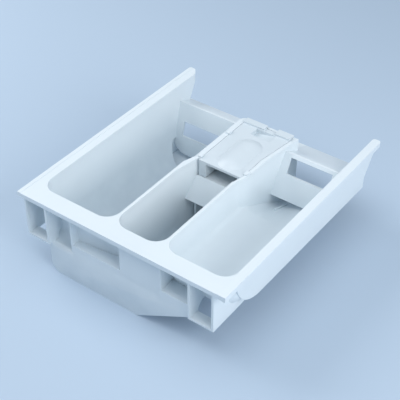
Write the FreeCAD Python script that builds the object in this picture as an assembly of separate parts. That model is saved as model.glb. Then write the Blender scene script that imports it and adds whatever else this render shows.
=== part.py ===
import FreeCAD, Part
import math
import os

# Detergent drawer of a washing machine: one moulded tray and the loose cap of its siphon.
# Millimetres. While it is modelled, x runs across, y back from the front lip and z up from the deck's top.

# Overall sizes
width = 190.0              # over the side rims
depth = 217.0              # front lip to the rear ends of the rims
height = 69.0              # underside of the wash compartment to the deck's top

# Walls of the moulding
wall = 2.0                 # compartment walls and floors
divider = 2.4              # walls between the compartments
plate = 1.8                # skirt, bracket and back panel plates
deck_thickness = 2.4

# Deck and rims
deck_strip = 15.2          # front lip to the compartments
lip_height = 3.8
lip_thickness = 2.2
left_rim_width = 10.0
right_rim_width = 7.0
left_bead_width = 3.2      # raised outer edge of the left rim
rim_drop = 4.2             # height of the outer flange under each rim
rim_thickness = 2.2
rim_step = 0.25            # rise of the rims over the deck
rim_end_radius = 2.4
left_rim_nose = 5.7        # width of the left rim's end
left_rim_cut = 6.1         # length over which it narrows to that

# Compartments
wash_width = 67.8
softener_width = 42.9
front_draft = 0.11         # run of the front walls for each unit of depth
corner_radius = 12.0       # front corners and front floor edges
wash_left_radius = 26.0    # the wash compartment's floor rolls up into the side wall
floor_radius = 14.0
prewash_depth = 34.0
prewash_rear_depth = 62.0  # at the rear, beside the siphon chamber, where the floor drains
prewash_rear_radius = 6.0  # that low side's floor edge
compartment_length = 175.0 # front wall to the wash compartment's open rear end
prewash_length = 158.0
prewash_level = 101.0      # length of its floor that is level, at the front
guide_length = 19.0        # low rib on the prewash floor
guide_height = 2.2
guide_thickness = 1.2
guide_inset = 15.5         # prewash wall to the rib
guide_rear_gap = 16.0      # rib to the compartment's rear end

# Siphon chamber
chamber_start = 93.2       # front wall of the softener compartment to the chamber
chamber_length = 68.6
chamber_jog = 7.0          # step in from the softener compartment's left wall
chamber_width = 37.6
chamber_flare = 5.0        # growth of its width over its rear part
flare_start = 31.6         # chamber's front to where it starts to widen
right_bend = 7.6           # chamber's front to where its right wall has bent out
right_bend_lead = 8.0      # length of divider that the bend starts in
right_bend_radius = 25.0
left_bend = 5.6            # chamber's front to where its left wall has bent in
left_bend_lead = 11.0      # length of that bend, on the wash side
softener_taper = 18.4      # length of softener wall that leans in ahead of the chamber
left_rail = 4.6            # tops of the chamber's walls, beside the cap
right_rail = 3.2
rear_rail = 2.4
chamber_corner = 5.0
cap_ledge = 1.4
cap_thickness = 2.2
standpipe_outside = 15.0
standpipe_bore = 9.0
standpipe_drop = 24.0      # deck level to the standpipe's top
standpipe_setback = 37.6   # chamber's front to the standpipe
apron_setback = 3.6        # chamber's front to the apron's top edge
apron_top_drop = 15.5
apron_height = 17.5
apron_lean = 12.5          # how far the apron's foot stands in front of its top
shelf_length = 18.0        # floor of the mouth, behind the apron
slit = 1.8                 # upright gap between the cap's post and the softener's wall
inlet_rib = 1.5            # thin rib in that gap, under the apron
nib_length = 5.0           # nibs on the rails that hold the cap down
nib_inset = 6.0            # chamber's front to the first left nib
nib_spacing = 38.4         # first left nib to the second
nib_reach = 0.8
nib_height = 1.3
nib_clearance = 0.3

# Back panels and rear bar
left_panel_gap = 1.2       # panel's top to the compartments' rear ends
left_panel_top = 17.0
left_panel_height = 45.0
left_panel_lean = 12.3
right_panel_gap = 25.3
right_panel_top = 3.3
right_panel_height = 34.2
right_panel_lean = 16.0
bar_overhang = 16.0        # compartments' rear ends to the bar's rear edge
bar_drop = 24.0            # deck level to the bar's rear edge
bar_skirt = 7.0
left_window_side = 8.5     # panel left standing beside the window
left_window_drop = 16.2    # panel's top to its window
left_window_height = 13.6
right_window_inset = 10.1  # panel's end in the chamber's wall to the window
right_window_side = 7.0
right_window_drop = 2.7
right_window_height = 13.2
right_window_radius = 6.0  # its lower outer corner
window_radius = 0.6
left_foot_radius = 14.0    # rounded feet of the panels
right_foot_radius = 20.0
outlet_front = 30.0        # wash compartment's rear end to the square outlet's front edge, at the floor
outlet_rise = 17.0         # height of that outlet's sloping front edge
outlet_run = 14.5          # and how far it leans back

# Side fins, behind the compartments
left_fin_inset = 6.3       # rim's rear end to the fin
left_fin_nose = 7.5        # height of the fin's upright rear end
left_fin_foot = 42.0
left_fin_lean = 17.4
right_fin_inset = 1.0
right_fin_nose = 13.0
right_fin_foot = 40.5
right_fin_lean = 12.2
right_fin_heel = 9.5       # upright end at its foot
right_fin_lead = 6.0       # compartments' front wall to the right fin's front edge
right_fin_front_drop = 36.9 # its lower edge falls from here to its foot at the rear
right_fin_front_radius = 31.0
fin_radius = 4.0
fin_overlap = 40.0

# Front skirt
belly_setback = 4.0        # lip to the belly plate
belly_plate = 3.2
belly_return = 8.0         # flange that stiffens the belly's lower edge
belly_flat = 84.5          # width of the belly's level foot
belly_radius = 9.0
scoop_depth = 1.2
scoop_slope = 5.0
scoop_drop = 40.0
scoop_left_inset = 19.0    # belly's left edge to the scoop
scoop_width = 85.0
bracket_width = 22.0
bracket_depth = 9.0
bracket_setback = 1.0
bracket_drop = 39.6
left_bracket_inset = 5.0   # rim to the bracket
right_bracket_inset = 10.0
belly_step = 1.2           # belly's edge beyond the left bracket's inner leg
left_runner_length = 23.0  # brackets' outer legs, carried back under the rims
right_runner_length = 38.0
arch_radius = 8.0
arch_drop = 31.0
arch_width = 11.0
arch_gap = 1.0             # bracket's floor to the arch behind it
ramp_lip_radius = 4.0      # front edge of the ramp beside the left bracket
ramp_radius = 8.0          # its hollow rear edge
left_pocket_inset = 23.7   # belly's left edge to the left pocket
left_pocket_width = 45.8
left_pocket_drop = 33.0
left_pocket_depth = 8.1    # belly's front to the left end of the pocket's slanted rear web
right_pocket_width = 25.6
right_pocket_drop = 29.5
right_pocket_run = 6.0     # its floor, carried on under the compartment's rounded edge

# Siphon cap
cap_clearance = 0.4        # round the cap's edge and down its skirts
cap_setback = 3.9          # chamber's front to the cap's front edge
cap_skirt_wall = 1.6
post_width = 6.6           # front leg at the left of the mouth
sleeve_clearance = 2.2     # water way between standpipe and sleeve
sleeve_wall = 1.6
sleeve_foot_gap = 6.0      # sleeve's foot above the floor
dome_width = 22.4
dome_length = 45.0
dome_height = 4.0
dome_front = 1.5           # cap's front edge to the dome
grip_width = 18.5
grip_length = 9.5
grip_depth = 4.6           # at its left end
grip_run_out = 0.8         # depth that is left at its right end
grip_rear = 4.5            # cap's rear edge to the finger grip
left_tab_width = 20.0
left_tab_reach = 2.2       # cap's rear edge to the tab's
right_tab_width = 14.0
right_tab_reach = 3.2
tab_length = 4.0
tab_height = 1.7

# Places that follow from the sizes
half = width / 2
wash_left = -half + left_rim_width
wash_right = wash_left + wash_width
softener_left = wash_right + divider
softener_right = softener_left + softener_width
prewash_left = softener_right + divider
prewash_right = half - right_rim_width
floor_depth = height - wall
compartment_rear = deck_strip + compartment_length
prewash_rear = deck_strip + prewash_length
prewash_fall = deck_strip + prewash_level
chamber_front = deck_strip + chamber_start
chamber_rear = chamber_front + chamber_length
chamber_left = softener_left + chamber_jog
chamber_right = chamber_left + chamber_width
chamber_outer_left = chamber_left - cap_ledge - left_rail
chamber_back = chamber_rear + cap_ledge + rear_rail
cap_left = chamber_left - cap_ledge + cap_clearance
mouth_left = cap_left + post_width
slit_left = cap_left - slit
left_bend_rear = chamber_front + left_bend
left_bend_front = left_bend_rear - left_bend_lead
apron_y = chamber_front + apron_setback
bar_rear = compartment_rear + bar_overhang
standpipe_x = chamber_left + (chamber_width + chamber_flare / 2) / 2
standpipe_y = chamber_front + standpipe_setback
bracket_rear = bracket_setback + bracket_depth
left_bracket = -half + left_bracket_inset
right_bracket = half - right_bracket_inset - bracket_width
belly_left = left_bracket + bracket_width - plate - belly_step
belly_right = right_bracket + plate
left_pocket = belly_left + left_pocket_inset
right_pocket = right_bracket - right_pocket_width
far = 400.0                # longer than anything that a cut has to pass
over = 1.0                 # how far a cut runs past the face it opens


def vec(x, y, z):
    return FreeCAD.Vector(x, y, z)


def box(x0, x1, y0, y1, z0, z1):
    return Part.makeBox(x1 - x0, y1 - y0, z1 - z0, vec(x0, y0, z0))


def rod(x, y, z0, z1, radius):
    return Part.makeCylinder(radius, z1 - z0, vec(x, y, z0))


def outline(corners, place):
    """Closed wire through corners (u, v, radius), each rounded by a tangent arc of its radius."""
    count = len(corners)
    turns = []
    for i, (u, v, radius) in enumerate(corners):
        here = vec(u, v, 0)
        before = vec(*corners[i - 1][:2], 0) - here
        after = vec(*corners[(i + 1) % count][:2], 0) - here
        before.normalize()
        after.normalize()
        bisector = before + after
        half_angle = before.getAngle(after) / 2
        run = radius / math.tan(half_angle)
        if radius > 0:
            bisector.normalize()
        reach = radius / math.sin(half_angle) - radius
        turns.append((here + before * run, here + bisector * reach, here + after * run))
    edges = []
    for i, (enter, middle, leave) in enumerate(turns):
        if corners[i][2] > 0:
            edges.append(Part.Arc(place(enter), place(middle), place(leave)).toShape())
        following = turns[(i + 1) % count][0]
        if (following - leave).Length > 1e-6:
            edges.append(Part.LineSegment(place(leave), place(following)).toShape())
    return Part.Wire(edges)


def across(corners, y0, y1):
    """Prism along y of an outline in x and z."""
    face = Part.Face(outline(corners, lambda p: vec(p.x, y0, p.y)))
    return face.extrude(vec(0, y1 - y0, 0))


def along(corners, x0, x1):
    """Prism along x of an outline in y and z."""
    face = Part.Face(outline(corners, lambda p: vec(x0, p.x, p.y)))
    return face.extrude(vec(x1 - x0, 0, 0))


def upright(corners, z0, z1):
    """Prism along z of an outline in x and y."""
    face = Part.Face(outline(corners, lambda p: vec(p.x, p.y, z0)))
    return face.extrude(vec(0, 0, z1 - z0))


def joined(shapes):
    return shapes[0].multiFuse(shapes[1:])


def front_wall(drop):
    """Outer face of the compartments' drafted front walls at a depth below the deck."""
    return deck_strip - wall + front_draft * drop


def section(x0, x1, left_drop, drop, left_radius, right_radius, grow):
    """Corners of a compartment's cross section, grown by a wall; it runs up past the deck."""
    return [(x0 - grow, over, 0), (x0 - grow, -left_drop - grow, left_radius + grow),
            (x1 + grow, -drop - grow, right_radius + grow), (x1 + grow, over, 0)]


def tub(x0, x1, y1, drop, left_radius, right_radius, grow):
    """Compartment form with a level floor, grown by a wall: drafted front wall, rounded front edges."""
    start = deck_strip - grow
    form = across(section(x0, x1, drop, drop, left_radius, right_radius, grow), start - over, y1)
    ahead = along([(start - far, over, 0), (start - front_draft * over, over, 0),
                   (start + front_draft * far, -far, 0), (start - far, -far, 0)],
                  x0 - far, x1 + far)
    form = form.cut(ahead)
    foot = start + front_draft * (drop + grow)
    front_edges = [edge for edge in form.Edges
                   if edge.BoundBox.YMax < foot + over and edge.BoundBox.ZMin < 0]
    return form.makeFillet(corner_radius + grow, front_edges)


def prewash_tub(grow):
    """Prewash form: level at the front, then falling to its left rear corner, where the water drains."""
    level = tub(prewash_left, prewash_right, prewash_fall, prewash_depth, floor_radius, floor_radius, grow)
    sections = [outline(section(prewash_left, prewash_right, left_drop, prewash_depth,
                                radius, floor_radius, grow), lambda p: vec(p.x, y, p.y))
                for y, left_drop, radius in ((prewash_fall, prewash_depth, floor_radius),
                                             (prewash_rear, prewash_rear_depth, prewash_rear_radius))]
    return level.fuse(Part.makeLoft(sections, True, True))


def tubs(grow):
    """The three compartment forms, in order from the left; the softener's ends at the chamber's front wall."""
    softener_rear = chamber_front - divider
    if grow > 0:
        softener_rear = chamber_front
    return [tub(wash_left, wash_right, compartment_rear, floor_depth, wash_left_radius, floor_radius, grow),
            tub(softener_left, softener_right, softener_rear, floor_depth, floor_radius, floor_radius, grow),
            prewash_tub(grow)]


def deck():
    """Front deck with its turned-down lip, ahead of the compartments and round their corners."""
    rear = deck_strip + corner_radius + wall
    return [box(-half, half, 0, rear, -deck_thickness, 0),
            box(-half, half, 0, lip_thickness, -lip_height, 0)]


def rims():
    """Side rims: flat strips with an outer flange, rounded rear ends and a slight rise over the deck."""
    shapes = []
    for low, high, side, step_low, step_high in (
            (-half, wash_left, -half, -half, -half + left_bead_width),
            (prewash_right, half, half - rim_thickness, prewash_right, half)):
        plan = [(low, 0, 0), (low, depth, rim_end_radius), (high, depth, rim_end_radius), (high, 0, 0)]
        if low == -half:
            plan[2:3] = [(low + left_rim_nose, depth, rim_end_radius), (high, depth - left_rim_cut, rim_end_radius)]
        flange = box(side, side + rim_thickness, 0, depth, -rim_drop, 0)
        rise = box(step_low, step_high, 0, depth, 0, rim_step)
        shapes += [upright(plan, -rim_thickness, 0),
                   joined([flange, rise]).common(upright(plan, -rim_drop, rim_step))]
    return shapes


def fins():
    """Side walls carried back past the compartments, with sloping rear edges; the right one is full length."""
    front = compartment_rear - fin_overlap
    rear = depth - left_fin_inset
    left = along([(front, 0, 0), (rear, 0, 0), (rear, -left_fin_nose, fin_radius),
                  (rear - left_fin_lean, -left_fin_foot, fin_radius), (front, -left_fin_foot, 0)],
                 wash_left - wall, wash_left)
    front = deck_strip + right_fin_lead
    rear = depth - right_fin_inset
    heel = rear - right_fin_lean
    right = along([(front, 0, 0), (rear, 0, 0), (rear, -right_fin_nose, fin_radius),
                   (heel, right_fin_heel - right_fin_foot, fin_radius), (heel, -right_fin_foot, 0),
                   (front, -right_fin_front_drop, right_fin_front_radius)],
                  prewash_right, prewash_right + wall)
    return [left, right]


def bar(x0, x1, y, top):
    """Sloping bar from a panel's top to the rear edge, with a short skirt."""
    return along([(y, -top, 0), (bar_rear, -bar_drop, 0), (bar_rear, -bar_drop - bar_skirt, 0),
                  (bar_rear - plate, -bar_drop - bar_skirt, 0), (bar_rear - plate, -bar_drop - plate, 0),
                  (y, -top - plate, 0)], x0, x1)


def back_panel(x0, x1, y, top, tall, lean, foot, window):
    """Leaning panel, trimmed to its foot's two corners, with a window: left, right, drop, height, corner."""
    sheet = along([(y, -top, 0), (y + plate, -top, 0), (y - lean + plate, -top - tall, 0),
                   (y - lean, -top - tall, 0)], x0, x1)
    left, right, drop, high, corner = window
    upper, lower = -top - drop, -top - drop - high
    opening = across([(left, upper, window_radius), (right, upper, window_radius),
                      (right, lower, corner), (left, lower, window_radius)], 0, far)
    shape = across([(x0, 0, 0), (x1, 0, 0)] + foot, 0, far)
    return sheet.common(shape).cut(opening)


def back_panels():
    """Both panels, whose feet stay clear of the floor so that water runs out under them, and the rear bars."""
    left, right = wash_left - wall / 2, chamber_outer_left + left_rail / 2
    left_y = compartment_rear - left_panel_gap
    foot = left_panel_top + left_panel_height
    left_panel = back_panel(left, right, left_y, left_panel_top, left_panel_height, left_panel_lean,
                            [(right, -foot, 0), (left, -foot, left_foot_radius)],
                            (left + left_window_side, right - left_window_side,
                             left_window_drop, left_window_height, window_radius))
    right_y = compartment_rear - right_panel_gap
    inner = chamber_side(right_y - right_panel_lean, cap_ledge + right_rail / 2)
    outer = prewash_right + wall / 2
    foot = right_panel_top + right_panel_height
    right_panel = back_panel(inner, outer, right_y, right_panel_top, right_panel_height, right_panel_lean,
                             [(outer, -foot, right_foot_radius), (inner, -foot, 0)],
                             (inner + right_window_inset, outer - right_window_side,
                              right_window_drop, right_window_height, right_window_radius))
    return [left_panel, right_panel,
            bar(left, right, left_y, left_panel_top),
            bar(inner, outer, right_y, right_panel_top),
            bar(chamber_outer_left, inner + right_rail, chamber_rear + cap_ledge, left_panel_top)]


def chamber_side(y, grow):
    """Inner face of the chamber's right wall, grown outwards: bent out of the divider, straight, then flaring."""
    bend_front, bend_rear = chamber_front - divider, chamber_front + right_bend
    if y < bend_rear:
        share = (y - bend_front) / (bend_rear - bend_front)
        spread = divider / (cap_ledge + right_rail)
        return softener_right + share * (chamber_right - softener_right) + grow * (spread + share * (1 - spread))
    flare_front = chamber_front + flare_start
    return chamber_right + chamber_flare * max(0, y - flare_front) / (chamber_rear - flare_front) + grow


def chamber_plan(left, grow, front, rear):
    """Plan of the siphon chamber from a place on its left to its right wall, between two places along the drawer."""
    bends = [chamber_front + right_bend, chamber_front + flare_start]
    return [(left, front, 0)] + [(chamber_side(y, grow), y, 0) for y in [front] + bends + [rear]] + [(left, rear, 0)]


def chamber_shell():
    """Chamber walls, and the cuts for its inside, the rebate that the cap drops into and the slit beside its post."""
    front = chamber_front - divider
    block = upright([(chamber_outer_left, front, 0), (softener_right, front, 0), (softener_right, chamber_back, 0),
                     (chamber_outer_left, chamber_back, chamber_corner)], -height, 0)
    outside = [(chamber_side(y, cap_ledge + right_rail), y, radius)
               for y, radius in ((front, right_bend_radius), (chamber_front + right_bend, right_bend_radius),
                                 (chamber_front + flare_start, right_bend_radius), (chamber_back, 0))]
    side = upright([(softener_right, front - right_bend_lead, 0), (prewash_left, front - right_bend_lead, 0)]
                   + outside + [(softener_right, chamber_back, 0)], -height, 0)
    space = upright(chamber_plan(chamber_left, 0, front - over, chamber_rear), -floor_depth, over)
    rebate = upright(chamber_plan(chamber_left - cap_ledge, cap_ledge, front - over, chamber_rear + cap_ledge),
                     -cap_thickness, over)
    slit_cut = upright([(taper(front - over), front - over, 0), (chamber_left, front - over, 0),
                        (chamber_left, left_bend_rear, 0), (taper(left_bend_rear), left_bend_rear, 0)],
                       -floor_depth, over)
    return [block, side, left_bend_wall()], [space, rebate, slit_cut]


def taper(y):
    """Softener compartment's left wall where it leans in towards the slit."""
    start = chamber_front - softener_taper
    return softener_left + (slit_left - softener_left) * (y - start) / (left_bend_rear - start)


def left_bend_wall():
    """Wall that joins the left divider to the chamber's left wall."""
    return upright([(softener_left, chamber_front - softener_taper, 0), (slit_left, left_bend_rear, 0),
                    (chamber_outer_left, left_bend_rear, 0), (wash_right, left_bend_front, 0)], -height, 0)


def siphon_parts():
    """Standpipe, the leaning apron with the mouth's floor behind it, and the thin rib under its left end."""
    pipe = rod(standpipe_x, standpipe_y, -height, -standpipe_drop, standpipe_outside / 2)
    foot = apron_top_drop + apron_height
    apron = along([(apron_y, -apron_top_drop, 0), (apron_y, -apron_top_drop - 2 * wall, 0),
                   (apron_y - apron_lean + wall, -foot, 0), (apron_y - apron_lean, -foot, 0)],
                  chamber_outer_left, softener_right + divider / 2)
    shelf = along([(apron_y, -apron_top_drop, 0),
                   (apron_y + shelf_length, -apron_top_drop - wall, 0),
                   (apron_y + shelf_length, -apron_top_drop - 2 * wall, 0),
                   (apron_y, -apron_top_drop - 2 * wall, 0)],
                  chamber_left - cap_ledge, chamber_right + cap_ledge)
    rib_front = chamber_front - divider
    rib_drop = apron_top_drop + apron_height * (apron_y - rib_front) / apron_lean + wall
    rib = box(cap_left, cap_left + inlet_rib, rib_front, left_bend_rear + over, -floor_depth - wall / 2, -rib_drop)
    return [pipe, apron, shelf, rib]


def nibs():
    """Small nibs on the rails, standing just clear over the cap's edges."""
    first = chamber_front + nib_inset
    left_edge = chamber_left - cap_ledge
    right_edge = chamber_right + cap_ledge
    shapes = []
    for x0, x1, root0, root1, y in (
            (left_edge - divider, left_edge + nib_reach, left_edge - divider, left_edge, first),
            (left_edge - divider, left_edge + nib_reach, left_edge - divider, left_edge, first + nib_spacing),
            (right_edge - nib_reach, right_edge + divider, right_edge, right_edge + divider,
             chamber_front + right_bend)):
        shapes += [box(x0, x1, y, y + nib_length, nib_clearance, nib_clearance + nib_height),
                   box(root0, root1, y, y + nib_length, -wall, nib_clearance + nib_height)]
    return shapes


def bracket(x0):
    """Open clip socket under the lip: two legs and a floor."""
    x1 = x0 + bracket_width
    outer = box(x0, x1, bracket_setback, bracket_rear, -bracket_drop, -deck_thickness / 2)
    return outer.cut(box(x0 + plate, x1 - plate, 0, bracket_rear + over, -bracket_drop + plate, 0))


def bracket_web(x0):
    """Plate from a bracket's inner leg back to the compartments, with an arched opening."""
    sheet = box(x0, x0 + plate, bracket_setback, front_wall(bracket_drop) + wall,
                -bracket_drop, -deck_thickness / 2)
    front = bracket_rear + arch_gap
    arch = along([(front, -bracket_drop - over, 0), (front, -arch_drop, arch_radius),
                  (front + arch_width, -arch_drop, 0), (front + arch_width, -bracket_drop - over, 0)],
                 x0 - over, x0 + plate + over)
    return sheet.cut(arch)


def belly():
    """Belly plate below the deck with its pockets' openings, ramp and shallow scoop, and its lower flange."""
    top = -deck_thickness / 2
    foot_right = belly_left + belly_flat
    edge = [(belly_left, top, 0), (belly_left, -height, belly_radius), (foot_right, -height, wall),
            (belly_right, -bracket_drop, 0), (belly_right, top, 0)]
    inner = [(belly_left + wall, over, 0), (belly_left + wall, -floor_depth, belly_radius - wall),
             (foot_right - wall / 2, -floor_depth, wall), (belly_right - wall, -bracket_drop + wall, 0),
             (belly_right - wall, over, 0)]
    sheet = across(edge, belly_setback, belly_setback + belly_plate).cut(joined(pocket_cuts())).fuse(ramp())
    left = belly_left + scoop_left_inset
    right = left + scoop_width
    mouth, base = [
        outline([(left - slope, over, 0), (left - slope, -scoop_drop - slope, scoop_slope + slope),
                 (right + slope / 2, -scoop_drop - slope, scoop_slope + slope), (right + slope / 2, over, 0)],
                lambda p: vec(p.x, y, p.y))
        for slope, y in ((scoop_slope, belly_setback), (0, belly_setback + scoop_depth))]
    sheet = sheet.cut(Part.makeLoft([mouth, base], True, True))
    flange = across(edge, belly_setback, belly_setback + belly_return).cut(across(inner, 0, far))
    return [sheet, flange.common(box(-far, far, 0, far, -far, -bracket_drop))]


def ramp():
    """Hollow-backed ramp beside the left bracket, curving from the belly's front up to the wash compartment."""
    rear = front_wall(arch_drop)
    foot = bracket_drop + ramp_lip_radius + 2 * wall
    outside, inside = [
        along([(belly_setback + grow, -foot - 2 * grow, 0), (belly_setback + grow, -bracket_drop - grow,
                                                             ramp_lip_radius - grow),
               (rear + grow, -bracket_drop - grow, ramp_radius + grow), (rear + grow, -arch_drop + grow, 0),
               (rear + 2 * wall, -arch_drop + grow, 0), (rear + 2 * wall, -foot - 2 * grow, 0)],
              left_bracket + bracket_width - plate, left_pocket)
        for grow in (0, plate)]
    return outside.cut(inside)


def pocket_cuts():
    """Openings through the belly plate for the fascia's hooks; the left one dips beside the bracket."""
    front, rear = belly_setback - over, belly_setback + belly_plate + over
    dip = box(left_bracket + bracket_width, left_pocket, front, rear, -bracket_drop - ramp_lip_radius - wall, over)
    left = box(left_pocket, left_pocket + left_pocket_width, front, rear, -left_pocket_drop, over)
    right = box(right_pocket, right_bracket, front, rear, -right_pocket_drop, over)
    return [dip, left, right]


def pocket_parts():
    """Floors and webs behind the belly plate's openings."""
    front = belly_setback + scoop_depth
    web_front = belly_setback + left_pocket_depth
    left_end = left_pocket + left_pocket_width
    left_rear = front_wall(left_pocket_drop) + wall / 2
    right_rear = front_wall(right_pocket_drop) + right_pocket_run
    top = -deck_thickness / 2
    left_floor = upright([(left_pocket, front, 0), (left_end + plate, front, 0), (left_end + plate, left_rear, 0),
                          (left_end, left_rear, 0), (left_pocket, web_front + plate, 0)],
                         -left_pocket_drop - plate, -left_pocket_drop)
    slanted_web = upright([(left_pocket, web_front, 0), (left_end, left_rear, 0), (left_end, left_rear + plate, 0),
                           (left_pocket, web_front + plate, 0)], -left_pocket_drop - plate, top)
    side_web = box(left_pocket - plate, left_pocket, front, left_rear, -bracket_drop - plate / 2, top)
    end_web = box(left_end, left_end + plate, front, left_rear, -left_pocket_drop - plate, top)
    right_floor = box(right_pocket - plate, belly_right, front, right_rear,
                      -right_pocket_drop - plate, -right_pocket_drop)
    right_web = box(right_pocket - plate, right_pocket, front, right_rear, -right_pocket_drop - plate, top)
    return [left_floor, slanted_web, side_web, end_web, right_floor, right_web]


def floor_guide():
    """Low rib on the prewash floor, ahead of the outlet, following the floor's fall."""
    rear = prewash_rear - guide_rear_gap
    front = rear - guide_length
    x = prewash_left + guide_inset
    share = guide_inset / (prewash_right - prewash_left)
    fall = (prewash_rear_depth - prewash_depth) * (1 - share) / (prewash_rear - prewash_fall)
    high, low = [-prewash_depth - fall * (y - prewash_fall) - wall / 2 for y in (front, rear)]
    return along([(front, high, 0), (front, high + guide_height, 0), (rear, low + guide_height, 0),
                  (rear, low, 0)], x, x + guide_thickness)


def wash_rear():
    """Square floor of the wash compartment beside the chamber, its square outlet, and the cuts that open both."""
    corner = wash_right - floor_radius - wall
    start = left_bend_front - wall
    floor = box(corner, chamber_outer_left + left_rail, start, compartment_rear, -height, -floor_depth)
    step = box(corner, softener_left, start, left_bend_front, -height, floor_radius - floor_depth)
    widening = upright([(corner, left_bend_front, 0), (wash_right, left_bend_front, 0),
                        (chamber_outer_left, left_bend_rear, 0), (chamber_outer_left, far, 0), (corner, far, 0)],
                       -floor_depth, over)
    roll = wash_left + wash_left_radius
    front = compartment_rear - outlet_front
    spout = box(wash_left - wall, roll, front - wall, compartment_rear, -height, wash_left_radius - floor_depth)
    outlet = along([(front, -floor_depth, 0), (front + outlet_run, outlet_rise - floor_depth, 0),
                    (far, outlet_rise - floor_depth, 0), (far, -floor_depth, 0)], wash_left, roll)
    return [floor, step, spout], [widening, outlet]


def drawer_tray():
    runners = [box(x, x + plate, bracket_setback, bracket_setback + run, -bracket_drop, -deck_thickness / 2)
               for x, run in ((left_bracket, left_runner_length),
                              (right_bracket + bracket_width - plate, right_runner_length))]
    webs = [bracket_web(left_bracket + bracket_width - plate), bracket_web(right_bracket)]
    brackets = [bracket(left_bracket), bracket(right_bracket)]
    above = box(-far, far, -far, far, 0, far)
    bases, rear_cuts = wash_rear()
    body = joined(tubs(wall) + deck() + bases + belly() + pocket_parts() + runners + webs + brackets)
    body = body.cut(joined(tubs(0) + rear_cuts + [above]))
    shells, chamber_cuts = chamber_shell()
    body = joined([body] + shells + rims() + fins() + back_panels()).cut(joined(chamber_cuts))
    body = joined([body, floor_guide()] + siphon_parts() + nibs())
    bore = rod(standpipe_x, standpipe_y, -height - over, 0, standpipe_bore / 2)
    return body.cut(bore).removeSplitter()


def dome(x, y0):
    """Low rounded crown over the siphon: a piece of a long capsule that shows above the lid."""
    reach = dome_width / 2
    radius = (reach ** 2 + dome_height ** 2) / (2 * dome_height)
    low, first, last = dome_height - radius, y0 + reach, y0 + dome_length - reach
    capsule = joined([Part.makeCylinder(radius, last - first, vec(x, first, low), vec(0, 1, 0)),
                      Part.makeSphere(radius, vec(x, first, low)), Part.makeSphere(radius, vec(x, last, low))])
    return capsule.common(box(x - reach - over, x + reach + over, y0 - over, y0 + dome_length + over,
                              -over, dome_height + over))


def finger_grip(x, y, rear_y, grow):
    """Wedge-shaped finger hollow, deep at its left end, grown by a wall."""
    right = x + grip_width
    return across([(x - grow, over, 0), (x - grow, -grip_depth - grow, 0), (right + grow, -grip_run_out - grow, 0),
                   (right + grow, over, 0)], y - grow, rear_y + grow)


def siphon_cap():
    front = chamber_front + cap_setback
    rear = chamber_rear + cap_ledge - cap_clearance
    lid = upright(chamber_plan(cap_left, cap_ledge - cap_clearance, front, rear), -cap_thickness, 0)
    middle = (mouth_left + chamber_right) / 2
    crown = dome(middle, front + dome_front)
    grip = (middle - grip_width / 2, rear - grip_rear - grip_length, rear - grip_rear)
    below = box(-far, far, 0, far, -far, -over)
    well = finger_grip(*grip, cap_skirt_wall).common(below)
    skirt_foot = cap_clearance - apron_top_drop
    skirt_rear = chamber_rear - cap_clearance
    skirt = upright(chamber_plan(mouth_left - cap_skirt_wall, -cap_clearance, front, skirt_rear), skirt_foot, -over)
    hollow = upright(chamber_plan(mouth_left, -cap_clearance - cap_skirt_wall, front - over,
                                  skirt_rear - cap_skirt_wall), skirt_foot - over, -cap_thickness)
    post = box(cap_left, mouth_left, front, front + cap_skirt_wall, skirt_foot, -over)
    sleeve_inside = standpipe_outside / 2 + sleeve_clearance
    sleeve_foot = -floor_depth + sleeve_foot_gap
    sleeve = rod(standpipe_x, standpipe_y, sleeve_foot, -over, sleeve_inside + sleeve_wall)
    water_way = rod(standpipe_x, standpipe_y, sleeve_foot - over, -cap_thickness, sleeve_inside)
    right_tab = chamber_side(rear - tab_length, cap_ledge - cap_clearance) - right_tab_width
    tabs = []
    for x, wide, reach in ((cap_left, left_tab_width, left_tab_reach), (right_tab, right_tab_width, right_tab_reach)):
        tabs += [box(x, x + wide, rear - tab_length, rear, -over, tab_height),
                 box(x, x + wide, rear - over, rear + reach, cap_clearance, tab_height)]
    body = joined([lid, crown, well, skirt.cut(hollow), post, sleeve] + tabs)
    return body.cut(joined([finger_grip(*grip, 0), water_way])).removeSplitter()


os.makedirs("parts", exist_ok=True)
for name, shape in (("drawer_tray", drawer_tray()), ("siphon_cap", siphon_cap())):
    shape.translate(vec(0, -depth / 2, height))
    print(name, shape.isValid(), len(shape.Solids), round(shape.Volume), shape.BoundBox)
    shape.exportStep("parts/%s.step" % name)
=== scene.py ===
import math

import bmesh
import bpy
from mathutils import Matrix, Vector


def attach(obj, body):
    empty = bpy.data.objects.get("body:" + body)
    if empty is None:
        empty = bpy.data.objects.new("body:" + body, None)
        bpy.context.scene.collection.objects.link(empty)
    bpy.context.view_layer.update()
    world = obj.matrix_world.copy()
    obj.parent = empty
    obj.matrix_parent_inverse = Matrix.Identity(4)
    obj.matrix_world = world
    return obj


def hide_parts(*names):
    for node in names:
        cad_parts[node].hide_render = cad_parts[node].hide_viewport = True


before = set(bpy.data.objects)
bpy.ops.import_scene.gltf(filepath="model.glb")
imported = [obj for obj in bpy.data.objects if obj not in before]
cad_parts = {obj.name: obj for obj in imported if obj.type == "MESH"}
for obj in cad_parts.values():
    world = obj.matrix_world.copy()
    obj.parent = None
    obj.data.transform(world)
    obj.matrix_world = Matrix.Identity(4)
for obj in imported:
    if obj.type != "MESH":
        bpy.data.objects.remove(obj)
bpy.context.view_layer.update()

# The tray: one shot of white polypropylene, with compartments, deck, rims, back panels and clip
# brackets in one piece. The mould breaks its edges by a few tenths of a millimetre, and its
# spark-eroded faces leave a fine grain. A painted shade, grey in patches, darkens and dulls it low down.


def linear(code):
    """Linear colour of an sRGB hex code."""
    channels = [int(code[i:i + 2], 16) / 255 for i in (1, 3, 5)]
    return [c / 12.92 if c <= 0.04045 else ((c + 0.055) / 1.055) ** 2.4 for c in channels] + [1.0]


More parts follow.
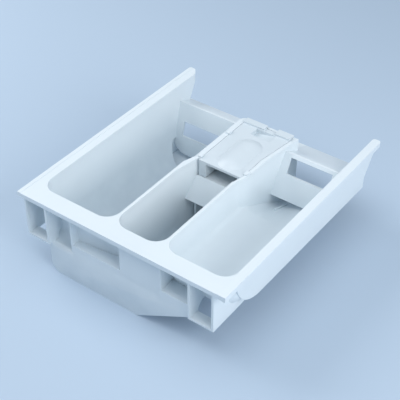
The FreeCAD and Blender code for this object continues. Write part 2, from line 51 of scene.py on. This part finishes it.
def add_node(tree, kind, inputs=None, **settings):
    """Adds a shader node, sets its properties, and fills or links its inputs by name or place."""
    node = tree.nodes.new(kind)
    for name, value in settings.items():
        setattr(node, name, value)
    for name, value in (inputs or {}).items():
        if isinstance(value, bpy.types.NodeSocket):
            tree.links.new(value, node.inputs[name])
        else:
            node.inputs[name].default_value = value
    return node


def cells(size_mm):
    """Noise scale whose cells are about this size, for coordinates in metres."""
    return 1000 / size_mm


cloud_mm = 45                         # slow drift of the white along a wall
skin_mm = 6                           # glossier and duller spots of the moulded skin
skin_smooth, skin_rough = 0.31, 0.43
noise_low, noise_high = 0.3, 0.7      # between these a noise has nearly all of its values
# Painted shade: grey is mixed into the plastic towards the bottom, in patches
shade_patch_mm = 22                          # patches of the painted shade, about this wide
shade_top, shade_full = 0.045, 0.002    # heights where the painted shade begins and where it is whole
shade_thin, shade_thick = 0.45, 1.0
shade_dulling = 0.14                   # roughness added where the painted shade lies
painted_shade_grey = "#CAD6DE"
grain_mm = 0.4                        # real sparking is under 0.1 mm; drawn coarser so that it shows
grain_depth = 0.00004
grain_strength = 0.25
polypropylene_ior = 1.49

# Places of the Mix node's colour sockets, whose names repeat
mix_factor, mix_a, mix_b, mix_result = 0, 6, 7, 2


def polypropylene(name, pale, deep):
    """Moulded polypropylene: cloudy white and satin, painted greyer and duller towards the bottom as
    shade, with a fine grain.
    """
    material = bpy.data.materials.new(name)
    material.use_nodes = True
    tree = material.node_tree
    tree.nodes.clear()
    place = add_node(tree, "ShaderNodeTexCoord").outputs["Object"]
    cloud = add_node(tree, "ShaderNodeTexNoise",
                     {"Vector": place, "Scale": cells(cloud_mm), "Detail": 3.0})
    plastic = add_node(tree, "ShaderNodeMix",
                       {mix_factor: cloud.outputs["Fac"], mix_a: linear(pale), mix_b: linear(deep)},
                       data_type="RGBA")
    # Painted shade: greyer towards the bottom, in patches
    height = add_node(tree, "ShaderNodeSeparateXYZ", {"Vector": place}).outputs["Z"]
    low = add_node(tree, "ShaderNodeMapRange",
                   {"Value": height, "From Min": shade_top, "From Max": shade_full},
                   interpolation_type="SMOOTHSTEP")
    patches = add_node(tree, "ShaderNodeTexNoise",
                       {"Vector": place, "Scale": cells(shade_patch_mm), "Detail": 5.0})
    strength = add_node(tree, "ShaderNodeMapRange",
                        {"Value": patches.outputs["Fac"], "From Min": noise_low, "From Max": noise_high,
                         "To Min": shade_thin, "To Max": shade_thick})
    shade_mask = add_node(tree, "ShaderNodeMath",
                      {0: low.outputs["Result"], 1: strength.outputs["Result"]},
                      operation="MULTIPLY").outputs["Value"]
    colour = add_node(tree, "ShaderNodeMix",
                      {mix_factor: shade_mask, mix_a: plastic.outputs[mix_result], mix_b: linear(painted_shade_grey)},
                      data_type="RGBA")
    skin = add_node(tree, "ShaderNodeTexNoise",
                    {"Vector": place, "Scale": cells(skin_mm), "Detail": 4.0})
    satin = add_node(tree, "ShaderNodeMapRange",
                     {"Value": skin.outputs["Fac"], "From Min": noise_low, "From Max": noise_high,
                      "To Min": skin_smooth, "To Max": skin_rough})
    rough = add_node(tree, "ShaderNodeMath",
                     {0: shade_mask, 1: shade_dulling, 2: satin.outputs["Result"]},
                     operation="MULTIPLY_ADD")
    grain = add_node(tree, "ShaderNodeTexNoise",
                     {"Vector": place, "Scale": cells(grain_mm), "Detail": 2.0})
    bump = add_node(tree, "ShaderNodeBump",
                    {"Height": grain.outputs["Fac"], "Strength": grain_strength, "Distance": grain_depth})
    shader = add_node(tree, "ShaderNodeBsdfPrincipled",
                      {"Base Color": colour.outputs[mix_result], "Roughness": rough.outputs["Value"],
                       "Normal": bump.outputs["Normal"], "IOR": polypropylene_ior})
    add_node(tree, "ShaderNodeOutputMaterial", {"Surface": shader.outputs["BSDF"]})
    return material


weld_distance = 1e-6
flat_angle = math.radians(0.2)        # triangles that meet flatter than this become one face
sharp_edge = math.radians(30)
edge_width = 0.0004
edge_steps = 2


def moulding(node, material):
    """Shows a CAD node with triangles merged, curved walls shaded smooth and edges rounded off."""
    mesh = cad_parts[node].data.copy()
    mesh.name = node + "_moulding"
    piece = bpy.data.objects.new(mesh.name, mesh)
    bpy.context.scene.collection.objects.link(piece)
    shape = bmesh.new()
    shape.from_mesh(mesh)
    bmesh.ops.remove_doubles(shape, verts=shape.verts, dist=weld_distance)
    bmesh.ops.dissolve_limit(shape, angle_limit=flat_angle, verts=shape.verts, edges=shape.edges)
    for face in shape.faces:
        face.smooth = True
    shape.to_mesh(mesh)
    shape.free()
    if "custom_normal" in mesh.attributes:
        mesh.attributes.remove(mesh.attributes["custom_normal"])
    mesh.set_sharp_from_angle(angle=sharp_edge)
    mesh.materials.clear()
    mesh.materials.append(material)
    rounding = piece.modifiers.new("broken_edges", "BEVEL")
    rounding.width = edge_width
    rounding.segments = edge_steps
    rounding.limit_method = "ANGLE"
    rounding.angle_limit = sharp_edge
    rounding.harden_normals = True
    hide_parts(node)
    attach(piece, "root")


tray_plastic = polypropylene("tray_polypropylene", pale="#E6EEF2", deep="#DFE8ED")
moulding("drawer_tray", tray_plastic)

# The siphon cap: a second, loose moulding of the same plastic, which drops into the rails over the
# siphon and is lifted out by its finger hollow for cleaning. Its colour is painted darker than the
# tray's, as shade.

# Same plastic as the tray, with a painted shade in its colour
cap_shaded_plastic = polypropylene("cap_polypropylene_shaded", pale="#DAE3E8", deep="#D2DCE2")
moulding("siphon_cap", cap_shaded_plastic)

# The setting: the drawer stands on a plain pale floor of matt paper, under soft lamps at both sides
# and overhead and a cool sky.

reach = 2.5
floor_mesh = bpy.data.meshes.new("floor")
floor_mesh.from_pydata([(-reach, -reach, 0), (reach, -reach, 0), (reach, reach, 0), (-reach, reach, 0)],
                       [], [(0, 1, 2, 3)])
floor = bpy.data.objects.new("floor", floor_mesh)
bpy.context.scene.collection.objects.link(floor)
paper = bpy.data.materials.new("pale_paper")
paper.use_nodes = True
paper_shader = paper.node_tree.nodes["Principled BSDF"].inputs
paper_shader["Base Color"].default_value = linear("#B8C9DA")
paper_shader["Roughness"].default_value = 0.9
floor_mesh.materials.append(paper)


def facing(direction):
    """Turn of a lamp or camera that looks along a direction."""
    return direction.to_track_quat("-Z", "Y").to_euler()


drawer_middle = Vector((0, 0, 0.04))


def softbox(name, place, size, power):
    """Square area lamp turned to the middle of the drawer."""
    lamp = bpy.data.lights.new(name, "AREA")
    lamp.shape = "SQUARE"
    lamp.size = size
    lamp.energy = power
    box = bpy.data.objects.new(name, lamp)
    box.location = place
    box.rotation_euler = facing(drawer_middle - Vector(place))
    bpy.context.scene.collection.objects.link(box)


softbox("left", place=(-0.8, -0.1, 0.65), size=0.7, power=5.5)
softbox("right", place=(0.85, -0.15, 0.55), size=0.7, power=5.6)
softbox("top", place=(0.1, -0.35, 1.25), size=0.9, power=3.6)

world = bpy.data.worlds.new("studio")
world.use_nodes = True
sky = world.node_tree.nodes["Background"].inputs
sky["Color"].default_value = linear("#D8E9FB")
sky["Strength"].default_value = 0.47
bpy.context.scene.world = world
bpy.context.scene.view_settings.view_transform = "Standard"

# Place, direction and lens are fitted to the drawer's straight edges
lens = bpy.data.cameras.new("camera")
lens.lens = 87.3
lens.sensor_width = 36
camera = bpy.data.objects.new("camera", lens)
camera.location = (0.34775, -0.48188, 0.52629)
camera.rotation_euler = facing(Vector((-0.4551, 0.6218, -0.6374)))
bpy.context.scene.collection.objects.link(camera)
bpy.context.scene.camera = camera
